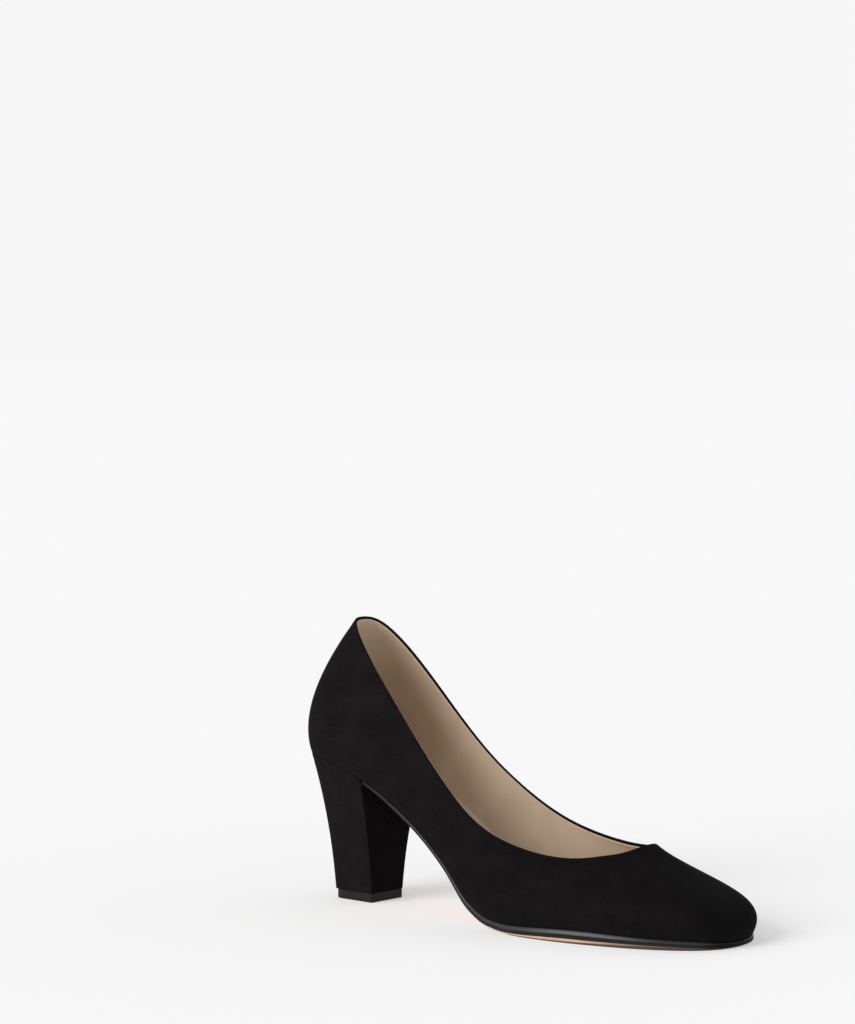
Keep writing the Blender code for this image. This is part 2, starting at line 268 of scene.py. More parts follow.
def crease_depth(ring):
    """How far the creases draw the suede in at each point of a ring."""
    depth = np.zeros(len(ring))
    for row in CREASES.values():
        crease = dict(zip(CREASE_COLUMNS, row))
        lean = math.radians(crease["lean"])
        forward = ring[:, 0] - crease["along"] * SHOE_LENGTH
        upward = ring[:, 2] - crease["height"]
        run = forward * math.cos(lean) + upward * math.sin(lean)
        off = (upward * math.cos(lean) - forward * math.sin(lean)) / crease["width"]
        ridges = np.exp(-((off - RIDGE_AWAY) ** 2)) + np.exp(-((off + RIDGE_AWAY) ** 2))
        trough = np.exp(-(off**2)) - RIDGE_SHARE * ridges
        on_side = 1 / (1 + np.exp(-crease["side"] * ring[:, 1] / SIDE_BLEND))
        depth += crease["depth"] * trough * np.exp(-((run / crease["length"]) ** 2)) * on_side
    return depth


# The lower edge of the suede is drawn in where it goes under. It comes right down on the sole, and over the
# covered heel it leaves a fine open joint. The doubled edge at the top line is a little fuller.
TUCK_AT_HEEL = 0.00012
TUCK_AT_SOLE = 0.00022
TUCK_SHARE = 0.020
TUCK_CHANGES_OVER = (0.040, 0.055)
TURNED_UNDER = 0.7
JOINT_AT_HEEL = 0.00024
JOINT_CLOSES_OVER = (0.043, 0.048)
EDGE_SWELL = 0.00018
EDGE_SWELL_SHARE = 0.060
EDGE_STEPS = 9
tuck_depth = np.interp(rib_foot[:, 0], TUCK_CHANGES_OVER, (TUCK_AT_HEEL, TUCK_AT_SOLE))
foot_drop = np.interp(rib_foot[:, 0], JOINT_CLOSES_OVER, (JOINT_AT_HEEL - GAP, -GAP))


def suede_ring(t):
    """A ring of the suede's outside, with its tuck, its fuller edge, its seam and its creases."""
    tuck = tuck_depth * max(0, 1 - t / TUCK_SHARE) ** 2
    swell = EDGE_SWELL * max(0, 1 - (1 - t) / EDGE_SWELL_SHARE)
    return upper_ring(t, tuck - swell + seam_depth + crease_depth(upper_ring(t)))


def turned_edge(outer_depth, inner_depth, drop, swell):
    """Rings over a rounded edge, from its outer to its inner face, drop below the top line."""
    half = (inner_depth - outer_depth) / 2
    rings = []
    for turn in np.linspace(0, math.pi, EDGE_STEPS):
        depth = outer_depth + half * (1 - math.cos(turn)) - swell * (1 + math.cos(turn)) / 2
        seam = seam_depth * swell / EDGE_SWELL
        rings.append(upper_ring(1, depth + seam, half * (math.sin(turn) - 1) - drop))
    return rings


# Rings stand closest together at the tuck, and the last one stops short of the rounded top edge.
SUEDE_STEPS = 84
BACK_STEPS = 18
TUCK_STEPS = (0, 0.004, 0.009, 0.016, 0.024)
FIRST_STEP = 0.034
LAST_STEP = 0.965
outside_steps = np.concatenate([TUCK_STEPS, np.linspace(FIRST_STEP, LAST_STEP, SUEDE_STEPS)])
hidden_steps = np.linspace(LAST_STEP, 0, BACK_STEPS)
suede_rings = [
    upper_ring(0, SUEDE, -GAP),
    upper_ring(0, SUEDE * TURNED_UNDER, foot_drop),
    upper_ring(0, tuck_depth, foot_drop),
    *(suede_ring(t) for t in outside_steps),
    *turned_edge(0, SUEDE, 0, EDGE_SWELL),
    *(upper_ring(t, SUEDE) for t in hidden_steps),
    upper_ring(0, SUEDE, -GAP),
]

OUTLINE_STEPS = 40


def feather_loop(out):
    """The feather line in plan, moved outwards."""
    loop = closed_spline(loop_knots, loop_rows, even_places(OUTLINE_STEPS))[:, :2]
    return loop + outward(loop) * out


# Where the shoe's own zero lies in the frame, from the box of the insole's solid.
insole_loop = feather_loop(-(WALL + GAP))
insole_low, insole_high = (np.array(corner)[:2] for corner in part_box("insole"))
shoe_zero = (insole_low + insole_high - insole_loop.min(axis=0) - insole_loop.max(axis=0)) / 2
WELD = 2e-6
SHARP_ANGLE = math.radians(42)


def wrapped(rings):
    """A grid of closed rings, each with its first point again at its end."""
    return np.array([np.vstack([ring, ring[:1]]) for ring in rings])


def sewn_piece(name, grids, finish):
    """One closed piece from grids of points, welded where the grids meet, riding on the shoe."""
    points, faces, count = [], [], 0
    for grid in grids:
        index = count + np.arange(grid.shape[0] * grid.shape[1]).reshape(grid.shape[:2])
        quads = np.stack([index[:-1, :-1], index[:-1, 1:], index[1:, 1:], index[1:, :-1]], axis=-1)
        points.append(grid.reshape(-1, 3))
        faces.append(quads.reshape(-1, 4))
        count += len(points[-1])
    mesh = bpy.data.meshes.new(name)
    mesh.from_pydata((np.vstack(points) + [*shoe_zero, 0]).tolist(), [], np.vstack(faces).tolist())
    bm = bmesh.new()
    bm.from_mesh(mesh)
    bmesh.ops.remove_doubles(bm, verts=bm.verts, dist=WELD)
    bmesh.ops.dissolve_degenerate(bm, edges=bm.edges, dist=WELD)
    bmesh.ops.recalc_face_normals(bm, faces=bm.faces)
    bm.to_mesh(mesh)
    bm.free()
    mesh.shade_smooth()
    mesh.set_sharp_from_angle(angle=SHARP_ANGLE)
    mesh.materials.append(finish)
    piece = bpy.data.objects.new(name, mesh)
    bpy.context.collection.objects.link(piece)
    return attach(piece, "root")


def add_node(tree, kind, **inputs):
    """A node with its inputs set. An output given for an input is linked to it."""
    node = tree.nodes.new(kind)
    for name, value in inputs.items():
        socket = node.inputs[name.replace("_", " ")]
        if isinstance(value, bpy.types.NodeSocket):
            tree.links.new(value, socket)
        else:
            socket.default_value = value
    return node


def new_finish(name, roughness, shine):
    """A material, its node tree, its Principled shader and the place on the shoe, in metres."""
    material = bpy.data.materials.new(name)
    material.use_nodes = True
    tree = material.node_tree
    shader = tree.nodes["Principled BSDF"]
    shader.inputs["Roughness"].default_value = roughness
    shader.inputs["Specular IOR Level"].default_value = shine
    place = tree.nodes.new("ShaderNodeTexCoord").outputs["Object"]
    return material, tree, shader, place


PLAIN_DETAIL = 2.0
USUAL_DETAIL = 3.0
RICH_DETAIL = 4.0


def speckle(tree, place, size, stretch=(1, 1, 1), detail=USUAL_DETAIL):
    """Cloudy noise whose clumps are about size across, drawn out along the axes by stretch."""
    squeezed = add_node(tree, "ShaderNodeMapping", Vector=place, Scale=[1 / s for s in stretch])
    spot = squeezed.outputs[0]
    return add_node(tree, "ShaderNodeTexNoise", Vector=spot, Scale=1 / size, Detail=detail).outputs[0]


def share_between(tree, value, low, high, at_low=0.0, at_high=1.0):
    """A number that goes smoothly from at_low to at_high as value goes from low to high."""
    spread = add_node(tree, "ShaderNodeMapRange", Value=value)
    spread.interpolation_type = "SMOOTHSTEP"
    for name, number in (("From Min", low), ("From Max", high), ("To Min", at_low), ("To Max", at_high)):
        spread.inputs[name].default_value = number
    return spread.outputs[0]


def mixed(tree, share, first, second):
    """A colour between two colours."""
    mix = tree.nodes.new("ShaderNodeMix")
    mix.data_type = "RGBA"
    tree.links.new(share, mix.inputs["Factor"])
    for socket, colour in ((mix.inputs[6], first), (mix.inputs[7], second)):
        if isinstance(colour, bpy.types.NodeSocket):
            tree.links.new(colour, socket)
        else:
            socket.default_value = (*colour, 1)
    return mix.outputs[2]


NOISE_LOW = 0.3
NOISE_HIGH = 0.7


def blend_of(tree, noise, first, second):
    """A colour that goes from first to second over the span where noise mostly lies."""
    return mixed(tree, share_between(tree, noise, NOISE_LOW, NOISE_HIGH), first, second)


def product(tree, first, second):
    """One number times another."""
    times = add_node(tree, "ShaderNodeMath")
    times.operation = "MULTIPLY"
    tree.links.new(first, times.inputs[0])
    tree.links.new(second, times.inputs[1])
    return times.outputs[0]


def facing(tree, axis):
    """How far the surface faces along an axis, from -1 to 1."""
    normal = tree.nodes.new("ShaderNodeNewGeometry").outputs["Normal"]
    return add_node(tree, "ShaderNodeSeparateXYZ", Vector=normal).outputs[axis]


def weighed(tree, numbers, weights):
    """The sum of numbers, each times its weight."""
    total = None
    for number, weight in zip(numbers, weights):
        scaled = tree.nodes.new("ShaderNodeMath")
        scaled.operation = "MULTIPLY_ADD"
        tree.links.new(number, scaled.inputs[0])
        scaled.inputs[1].default_value = weight
        if total is None:
            scaled.inputs[2].default_value = 0
        else:
            tree.links.new(total, scaled.inputs[2])
        total = scaled.outputs[0]
    return total


def add_relief(tree, shader, height, depth, strength):
    """Fine relief on the shader's normal: height from 0 to 1 stands for depth in metres."""
    bump = add_node(tree, "ShaderNodeBump", Height=height, Distance=depth, Strength=strength)
    tree.links.new(bump.outputs[0], shader.inputs["Normal"])


# Short brushed nap: fibres lie along the shoe, in small tufts, and hand marks turn patches of them.
NAP_DARK = (0.0058, 0.0051, 0.0053)
NAP_LIGHT = (0.0108, 0.0095, 0.0099)
NAP_FIBRE = 0.00035
NAP_TUFT = 0.0011
NAP_PATCH = 0.009
FIBRE_STRETCH = (2.2, 1, 1)
TUFT_STRETCH = (1.6, 1, 1)
PATCH_STRETCH = (1.5, 1, 1)
NAP_TONE_SHARES = (0.30, 0.25, 0.45)
NAP_RELIEF_SHARES = (0.55, 0.45)
NAP_RELIEF = 0.55
NAP_DEPTH = 0.00016
NAP_ROUGHNESS = 1.0
NAP_SHINE = 0.03
SHEEN = 0.010
SHEEN_ROUGHNESS = 0.45
SHEEN_TINT = (0.82, 0.78, 0.79)

# Painted shade: the suede's colour is made darker in front of the waist than round the heel, and darker
# again where it faces the toe, where less light falls.
PAINTED_SHADE_FROM = -0.075
PAINTED_SHADE_TO = -0.015
PAINTED_SHADE_FRONT = 0.82
PAINTED_SHADE_FACING_TOE = 0.82
FACES_TOE_FROM = 0.35
FACES_TOE_FULLY = 0.90


def suede_finish(name, shade_facing_toe):
    """Black suede, with painted shade in front of the waist and, by a given share, facing the toe."""
    material, tree, shader, place = new_finish(name, NAP_ROUGHNESS, NAP_SHINE)
    fibre = speckle(tree, place, NAP_FIBRE, FIBRE_STRETCH)
    tuft = speckle(tree, place, NAP_TUFT, TUFT_STRETCH)
    patch = speckle(tree, place, NAP_PATCH, PATCH_STRETCH)
    tone = weighed(tree, (fibre, tuft, patch), NAP_TONE_SHARES)
    along = add_node(tree, "ShaderNodeSeparateXYZ", Vector=place).outputs["X"]
    # Painted shade: darker in front of the waist and where the surface faces the toe.
    painted_shade = share_between(tree, along, PAINTED_SHADE_FROM, PAINTED_SHADE_TO, 1, PAINTED_SHADE_FRONT)
    toe_shade = share_between(tree, facing(tree, "X"), FACES_TOE_FROM, FACES_TOE_FULLY, 1, shade_facing_toe)
    painted_shade = product(tree, painted_shade, toe_shade)
    shaded = tree.nodes.new("ShaderNodeVectorMath")
    shaded.operation = "SCALE"
    tree.links.new(blend_of(tree, tone, NAP_DARK, NAP_LIGHT), shaded.inputs[0])
    tree.links.new(painted_shade, shaded.inputs["Scale"])
    tree.links.new(shaded.outputs[0], shader.inputs["Base Color"])
    add_relief(tree, shader, weighed(tree, (fibre, tuft), NAP_RELIEF_SHARES), NAP_DEPTH, NAP_RELIEF)
    shader.inputs["Sheen Weight"].default_value = SHEEN
    shader.inputs["Sheen Roughness"].default_value = SHEEN_ROUGHNESS
    shader.inputs["Sheen Tint"].default_value = (*SHEEN_TINT, 1)
    return material


upper = sewn_piece("upper_suede", [wrapped(suede_rings)], suede_finish("black_suede", PAINTED_SHADE_FACING_TOE))
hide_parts("upper")

# Lining
# Thin beige synthetic leather that backs the suede. It is sewn to the turned edge just inside the top line
# and runs down to the insole. It is hidden in the photo, so its colour and its plain grain are a guess.
LINING_DROP = 0.0007
LINING_CLEAR = 0.00004
LINING_STEPS = 52
LINING_LAST_STEP = 0.950
LINING_PALE = (0.600, 0.470, 0.345)
LINING_DEEP = (0.520, 0.395, 0.280)
LINING_ROUGHNESS = 0.55
LEATHER_SHINE = 0.35
LEATHER_CLOUD = 0.018
LEATHER_TONE_SHARES = (0.7, 0.3)
GRAIN = 0.0007
GRAIN_SHARES = (-0.6, 0.3)
GRAIN_DEPTH = 0.00007
GRAIN_RELIEF = 0.6


def leather_finish(name, pale, deep, roughness):
    """Smooth synthetic leather with a fine pebble grain and slightly uneven colour."""
    material, tree, shader, place = new_finish(name, roughness, LEATHER_SHINE)
    cloud = speckle(tree, place, LEATHER_CLOUD)
    pores = add_node(tree, "ShaderNodeTexVoronoi", Vector=place, Scale=1 / GRAIN).outputs["Distance"]
    fine = speckle(tree, place, GRAIN / 2, detail=PLAIN_DETAIL)
    tone = weighed(tree, (cloud, fine), LEATHER_TONE_SHARES)
    tree.links.new(blend_of(tree, tone, deep, pale), shader.inputs["Base Color"])
    add_relief(tree, shader, weighed(tree, (pores, fine), GRAIN_SHARES), GRAIN_DEPTH, GRAIN_RELIEF)
    return material


lining_leather = leather_finish("beige_lining", LINING_PALE, LINING_DEEP, LINING_ROUGHNESS)
lining_back = SUEDE + LINING_CLEAR
lining_rings = [
    upper_ring(0, lining_back),
    *(upper_ring(t, WALL) for t in np.linspace(0, LINING_LAST_STEP, LINING_STEPS)),
    *reversed(turned_edge(lining_back, WALL, LINING_DROP, 0)),
    *(upper_ring(t, lining_back) for t in np.linspace(LINING_LAST_STEP, 0, BACK_STEPS)),
]
lining = sewn_piece("lining", [wrapped(lining_rings)], lining_leather)
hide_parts("upper")

# Insole and sock
# The board that the upper is lasted to, with thin foam and a beige synthetic leather sock cemented over it.
# The sock is gently crowned, and its edge rolls down against the lining.
SOCK_SHARE = 0.060
SOCK_CLEAR = 0.00005
SOCK_UNDER = 0.0016
SOCK_ROLL = 0.0009
SOCK_ROLL_WIDTH = 0.0018
SOCK_ROLL_STEPS = 7
SOCK_CROWN = 0.0011
SOCK_FULL_WIDTH = 0.050
SOCK_COLUMNS = 22
SOCK_PALE = (0.640, 0.500, 0.365)
SOCK_DEEP = (0.565, 0.430, 0.305)
SOCK_ROUGHNESS = 0.48


def across(ring, columns):
    """Rows of points between the facing sides of a closed ring that starts at the back."""
    half = len(ring) // 2
    near = ring[: half + 1]
    far = np.roll(ring, -1, axis=0)[::-1][: half + 1]
    share = np.linspace(0, 1, columns + 1)[None, :, None]
    return near[:, None] * (1 - share) + far[:, None] * share


sock_edge = upper_ring(SOCK_SHARE, WALL + SOCK_CLEAR)
sock_outward = outward(sock_edge[:, :2])


def sock_ring(inwards, drop):
    """The edge of the sock, moved inwards and down."""
    ring = sock_edge.copy()
    ring[:, :2] -= sock_outward * inwards
    ring[:, 2] -= drop
    return ring


sock_rings = [sock_ring(SOCK_CLEAR, SOCK_UNDER), sock_ring(0, SOCK_ROLL)]
for step in np.linspace(0, 1, SOCK_ROLL_STEPS)[1:]:
    roll_drop = SOCK_ROLL * (1 - math.sqrt(1 - (1 - step) ** 2))
    sock_rings.append(sock_ring(SOCK_ROLL_WIDTH * step, roll_drop))
sock_top = across(sock_rings[-1], SOCK_COLUMNS)
sock_width = np.linalg.norm(sock_top[:, 0] - sock_top[:, -1], axis=1)
crown_share = np.linspace(-1, 1, SOCK_COLUMNS + 1)
crown_height = SOCK_CROWN * np.minimum(1, sock_width / SOCK_FULL_WIDTH)
sock_top[:, :, 2] += crown_height[:, None] * (1 - crown_share**2) ** 2
sock_leather = leather_finish("beige_sock", SOCK_PALE, SOCK_DEEP, SOCK_ROUGHNESS)
sock_grids = [wrapped(sock_rings), sock_top, across(sock_rings[0], 1)]
insole = sewn_piece("insole_sock", sock_grids, sock_leather)
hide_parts("insole")

# Heel
# A moulded block under the seat, covered in the same suede as the upper and cemented on. It tapers to its
# tip, its breast is flat between two crisp corners, and a small cove carries the cover out under the sole.
BREAST_ALONG = 0.0442
TIP_ALONG = 0.0296
TIP_ACROSS = -0.0020
TIP_LENGTH = 0.0253
TIP_WIDTH = 0.0213
TIP_ROUND = 0.0051
TIP_TURN = math.radians(-4)
HEEL_TAPER = 1.6
LIFT_HEIGHT = 0.0041
LIFT_INSET = 0.0003
LIFT_BACK_INSET = 0.0010
BREAST_CORNER = 0.0009
COVE = 0.0032
COVE_STEPS = 8
HEEL_SIDE_STEPS = 72
HEEL_CORNER_STEPS = 8
HEEL_BREAST_STEPS = 16
HEEL_LEVELS = 44
HEEL_FOOT_ROUND = 0.0005
HEEL_FOOT_STEPS = 5
HEEL_CLEAR = 0.00005
CORNER_FINENESS = 4000


def resampled(line, count):
    """count + 1 points spaced evenly along a line of points."""
    run = np.concatenate([[0], np.cumsum(np.linalg.norm(np.diff(line, axis=0), axis=1))])
    at = np.linspace(0, run[-1], count + 1)
    return np.column_stack([np.interp(at, run, line[:, k]) for k in range(line.shape[1])])


def feather_halves():
    """Lateral and medial halves of the feather line, from the back to the toe."""
    loop = feather_loop(0)
    loop = np.roll(loop, -np.argmin(loop[:, 0]), axis=0)
    toe = np.argmax(loop[:, 0])
    return loop[: toe + 1], np.vstack([loop[:1], loop[:toe - 1:-1]])


def seat_side(half):
    """The part of a half feather line that lies over the heel, from the back to the breast."""
    stop = np.interp(BREAST_ALONG, half[:, 0], half[:, 1])
    return np.vstack([half[half[:, 0] < BREAST_ALONG], [BREAST_ALONG, stop]])


def tip_side(inset, back_inset, sign):
    """Half of the tip's outline, from the middle of its back to its front corner."""
    half = TIP_WIDTH / 2 - inset
    back = back_inset - TIP_LENGTH / 2
    turn = np.linspace(0, math.pi / 2, HEEL_SIDE_STEPS)
    arc = np.column_stack([back + TIP_ROUND * (1 - np.cos(turn)), half - TIP_ROUND * (1 - np.sin(turn))])
    side = np.vstack([[back, 0], arc, [TIP_LENGTH / 2 - inset, half]]) * [1, sign]
    cos, sin = math.cos(TIP_TURN), math.sin(TIP_TURN)
    return side @ np.array([[cos, sin], [-sin, cos]]) + [TIP_ALONG, TIP_ACROSS]


def cut_corner(side, middle, corner_round):
    """A side from the back to its front corner, the rounded corner, and the breast to its middle."""
    run = np.linalg.norm(np.diff(side, axis=0), axis=1).sum()
    fine = resampled(side, CORNER_FINENESS)
    kept = fine[: int(CORNER_FINENESS * (1 - corner_round / run)) + 1]
    corner = side[-1]
    leave = corner + (middle - corner) * corner_round / np.linalg.norm(middle - corner)
    u = np.linspace(0, 1, HEEL_CORNER_STEPS + 1)[:, None]
    bend = kept[-1] * (1 - u) ** 2 + 2 * corner * u * (1 - u) + leave * u**2
    breast = np.linspace(leave, middle, HEEL_BREAST_STEPS + 1)
    return np.vstack([resampled(kept, HEEL_SIDE_STEPS), bend[1:], breast[1:]])


def heel_ring(lateral, medial, corner_round):
    """A closed ring: from the back, along the lateral side, the breast and the medial side."""
    middle = (lateral[-1] + medial[-1]) / 2
    there, back = (cut_corner(side, middle, corner_round) for side in (lateral, medial))
    return np.vstack([there, back[-2:0:-1]])


seat_ring = heel_ring(*(seat_side(half) for half in feather_halves()), BREAST_CORNER)
tip_ring = heel_ring(tip_side(0, 0, -1), tip_side(0, 0, 1), BREAST_CORNER)
steps_to_breast = HEEL_SIDE_STEPS + HEEL_CORNER_STEPS
ring_steps = np.arange(len(seat_ring))
steps_from_back = np.minimum(ring_steps, len(seat_ring) - ring_steps)
on_breast = np.clip((steps_from_back - HEEL_SIDE_STEPS) / HEEL_CORNER_STEPS, 0, 1)
heel_foot = LIFT_HEIGHT + HEEL_CLEAR


def heel_level(level):
    """The plan and heights of the block at a level, from 0 at the seat to 1 at the foot."""
    share = HEEL_TAPER * level + (1 - HEEL_TAPER) * level**2
    plan = seat_ring + (tip_ring - seat_ring) * share
    height = feather_height(seat_ring[:, 0]) * (1 - level) + heel_foot * level
    return np.column_stack([plan, height])


breast_top = float(feather_height(np.array([BREAST_ALONG]))[0])
sole_under = float(ground_height(np.array([BREAST_ALONG]))[0]) - HEEL_CLEAR
cove_start = (breast_top - sole_under) / (breast_top - heel_foot)
cove_stop = cove_start + COVE / (breast_top - heel_foot)
cove_front = BREAST_ALONG + COVE
cove_top = np.array([cove_front, float(ground_height(np.array([cove_front]))[0]) - HEEL_CLEAR])


def breast_place(level):
    """Place along and height of the middle of the breast."""
    ring = heel_level(level)
    return ring[steps_to_breast + HEEL_BREAST_STEPS, [0, 2]]


def cove_ring(share):
    """A ring in the cove, from 0 under the sole to 1 where the cove ends on the breast."""
    level = cove_start + (cove_stop - cove_start) * share
    corner, stop = breast_place(cove_start), breast_place(cove_stop)
    curve = cove_top * (1 - share) ** 2 + 2 * corner * share * (1 - share) + stop * share**2
    ring = heel_level(level)
    ring[:, [0, 2]] += on_breast[:, None] * (curve - breast_place(level))
    return ring


def shrunk(ring, inset, rise):
    """A ring drawn in towards its own middle line and lifted."""
    ring = ring.copy()
    ring[:, :2] -= outward(ring[:, :2]) * inset
    ring[:, 2] += rise
    return ring


# A fine groove runs round the top of the cover. A third of the way down, this share of its depth is left.
SEAT_GROOVE = 0.00022
SEAT_GROOVE_HEIGHT = 0.0006
SEAT_GROOVE_BEND = 0.35
seat_groove_level = SEAT_GROOVE_HEIGHT / (breast_top - heel_foot)
heel_rings = [
    shrunk(heel_level(0), SEAT_GROOVE, 0),
    shrunk(heel_level(seat_groove_level / 3), SEAT_GROOVE * SEAT_GROOVE_BEND, 0),
    heel_level(seat_groove_level),
    heel_level(cove_start),
]
heel_rings += [cove_ring(share) for share in np.linspace(0, 1, COVE_STEPS + 1)]
heel_rings += [heel_level(level) for level in np.linspace(cove_stop, 1, HEEL_LEVELS)[1:-1]]
for turn in np.linspace(0, math.pi / 2, HEEL_FOOT_STEPS):
    drawn = HEEL_FOOT_ROUND * (1 - math.cos(turn))
    heel_rings.append(shrunk(heel_level(1), drawn, HEEL_FOOT_ROUND * (1 - math.sin(turn))))
heel_grids = [wrapped(heel_rings), across(heel_rings[0], 1), across(heel_rings[-1], 1)]

# Painted shade: on the breast, which faces the toe under the arch, the suede keeps about half its tone.
BREAST_PAINTED_SHADE = 0.52
heel = sewn_piece("heel_cover", heel_grids, suede_finish("heel_suede", BREAST_PAINTED_SHADE))
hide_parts("heel")

# Outsole
# A thin moulded sole, cemented on from the breast to the toe. Its edge is inked black: a bevelled, polished
# bead runs along the top, a little beyond the upper, over a plain dull band. Beside the breast both start
# under the upper.
BEAD_SHARE_AT_WAIST = 0.36
BEAD_SHARE_AT_BALL = 0.53
BEAD_SHARE_AT_TOE = 0.20
WAIST_END = 0.46 * SHOE_LENGTH
BALL_START = 0.58 * SHOE_LENGTH
ROUND_TOE_FROM = 0.72
ROUND_TOE_FULLY = 0.92
BEAD_ROOT = -0.0001
BEAD_REACH = 0.20
BEAD_BEND = 1.7
BEAD_STEPS = 11
BEAD_FOOT = 0.00008
EDGE_START_IN = 0.0013
EDGE_START_RUN = 0.0048
BAND_OUT = 0.00030
BAND_CORNER = 0.00015
BAND_CLEAR = 0.00002
SOLE_UNDER_UPPER = 0.0016
SOLE_SIDE_STEPS = 170

# Thickness of the tread below the inked edge, how far it stands out from the feather line, and how far its
# lower corner is rounded, at places along the shoe.
TREAD_COLUMNS = ("along", "thick", "out", "round")
TREAD = {
    "breast": (0.189, 0.0003, -0.0012, 0.0002),
    "waist": (0.400, 0.0003, -0.0012, 0.0002),
    "ball_back": (0.475, 0.0003, -0.0010, 0.0002),
    "ball_rise": (0.535, 0.0004, -0.0006, 0.0003),
    "joint": (0.600, 0.0010, 0.0001, 0.0004),
    "tread": (0.725, 0.0020, 0.0002, 0.0006),
    "toe_break": (0.830, 0.0020, 0.0002, 0.0008),
    "toe_side": (0.930, 0.0016, 0.0000, 0.0008),
    "toe_tip": (0.985, 0.0004, -0.0006, 0.0003),
}


def tread_at(along, name):
    """A column of the tread table at any place along the shoe."""
    knots = column(TREAD, TREAD_COLUMNS, "along") * SHOE_LENGTH
    return steady_curve(knots, column(TREAD, TREAD_COLUMNS, name), along)


sole_back = BREAST_ALONG + GAP


def sole_line():
    """The feather line from the breast round the toe and back to the breast, and its outward normals."""
    ends = []
    for half in feather_halves():
        start = np.interp(sole_back, half[:, 0], half[:, 1])
        side = np.vstack([[sole_back, start], half[half[:, 0] > sole_back]])
        ends.append(resampled(side, SOLE_SIDE_STEPS))
    line = np.vstack([ends[0], ends[1][-2::-1]])
    normal = outward(line)
    normal[[0, -1]] = [[0, -1], [0, 1]]
    return line, normal


sole_plan, sole_normal = sole_line()
sole_along = sole_plan[:, 0]
sole_top = feather_height(sole_along)
sole_ground = ground_height(sole_along)
tread_thick = tread_at(sole_along, "thick")
inked_height = sole_top - sole_ground - tread_thick


def sole_path(out, height):
    """The feather line moved outwards by out and set at a height, kept in front of the breast."""
    path = sole_plan + sole_normal * np.reshape(out, (-1, 1))
    path[:, 0] = np.maximum(path[:, 0], sole_back)
    return np.column_stack([path, height])


def facing_rows(path):
    """The two sides of a path that starts and ends at the breast, as rows of facing points."""
    half = len(path) // 2
    return np.stack([path[: half + 1], path[::-1][: half + 1]], axis=1)


def plate_grids(paths):
    """Grids of a plate from its edge's paths, top first: edge, top, underside and back end."""
    stack = np.array(paths)
    back = np.stack([stack[:, 0], stack[:, -1]], axis=1)
    return [stack, facing_rows(stack[0]), facing_rows(stack[-1]), back]


bead_share = np.interp(sole_along, (WAIST_END, BALL_START), (BEAD_SHARE_AT_WAIST, BEAD_SHARE_AT_BALL))
round_toe = np.interp(sole_normal[:, 0], (ROUND_TOE_FROM, ROUND_TOE_FULLY), (0, 1))
bead_height = inked_height * (bead_share + (BEAD_SHARE_AT_TOE - bead_share) * round_toe)
band_top = sole_top - bead_height
ink_foot = sole_ground + tread_thick
edge_start = EDGE_START_IN * np.clip(1 - (sole_along - sole_back) / EDGE_START_RUN, 0, 1) ** 2
bead_paths = [sole_path(-SOLE_UNDER_UPPER, sole_top)]
for down in np.linspace(0, 1, BEAD_STEPS):
    bead_out = BEAD_ROOT + BEAD_REACH * inked_height * (1 - (1 - down) ** BEAD_BEND) - edge_start
    bead_paths.append(sole_path(bead_out, sole_top - (bead_height - BEAD_FOOT) * down))
bead_paths += [
    sole_path(bead_out - BEAD_FOOT, band_top),
    sole_path(-SOLE_UNDER_UPPER, band_top),
]
band_out = BAND_OUT - edge_start
band_paths = [
    sole_path(-SOLE_UNDER_UPPER, band_top - BAND_CLEAR),
    sole_path(band_out - BAND_CORNER, band_top - BAND_CLEAR),
    sole_path(band_out, band_top - BAND_CORNER),
    sole_path(band_out, ink_foot + BAND_CORNER),
    sole_path(band_out - BAND_CORNER, ink_foot),
    sole_path(-SOLE_UNDER_UPPER, ink_foot),
]

INK_DARK = (0.0080, 0.0080, 0.0085)
INK_WORN = (0.0160, 0.0160, 0.0165)
# Painted shade: the ink darkens to this where the edge faces the toe.
INK_TOE_SHADE = (0.0015, 0.0015, 0.0016)
INK_STREAK = 0.0006
INK_STRETCH = (14, 14, 1)
INK_CLOUD = 0.006
INK_TONE_SHARES = (0.6, 0.4)
INK_TOE_SHADE_FROM = 0.70
INK_TOE_SHADE_FULLY = 0.92
INK_RELIEF_SHARES = (0.7, 0.3)
INK_DEPTH = 0.00006
INK_RELIEF = 0.5
BEAD_ROUGHNESS = 0.36
BEAD_SHINE = 0.40
BAND_ROUGHNESS = 0.62
BAND_SHINE = 0.12


def ink_finish(name, roughness, shine):
    """Black edge ink with streaks along the edge, painted deep black round the toe as shade."""
    material, tree, shader, place = new_finish(name, roughness, shine)
    streak = speckle(tree, place, INK_STREAK, INK_STRETCH)
    cloud = speckle(tree, place, INK_CLOUD)
    tone = weighed(tree, (streak, cloud), INK_TONE_SHARES)
    worn = blend_of(tree, tone, INK_DARK, INK_WORN)
    # Painted shade: the ink turns deep black where the edge faces the toe.
    shade_at_toe = share_between(tree, facing(tree, "X"), INK_TOE_SHADE_FROM, INK_TOE_SHADE_FULLY)
    tree.links.new(mixed(tree, shade_at_toe, worn, INK_TOE_SHADE), shader.inputs["Base Color"])
    add_relief(tree, shader, weighed(tree, (streak, cloud), INK_RELIEF_SHARES), INK_DEPTH, INK_RELIEF)
    return material


polished_ink = ink_finish("polished_edge_ink", BEAD_ROUGHNESS, BEAD_SHINE)
dull_ink = ink_finish("dull_edge_ink", BAND_ROUGHNESS, BAND_SHINE)
bead = sewn_piece("outsole_bead", plate_grids(bead_paths), polished_ink)
band = sewn_piece("outsole_band", plate_grids(band_paths), dull_ink)
for outsole_piece in (bead, band):
    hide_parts("outsole")

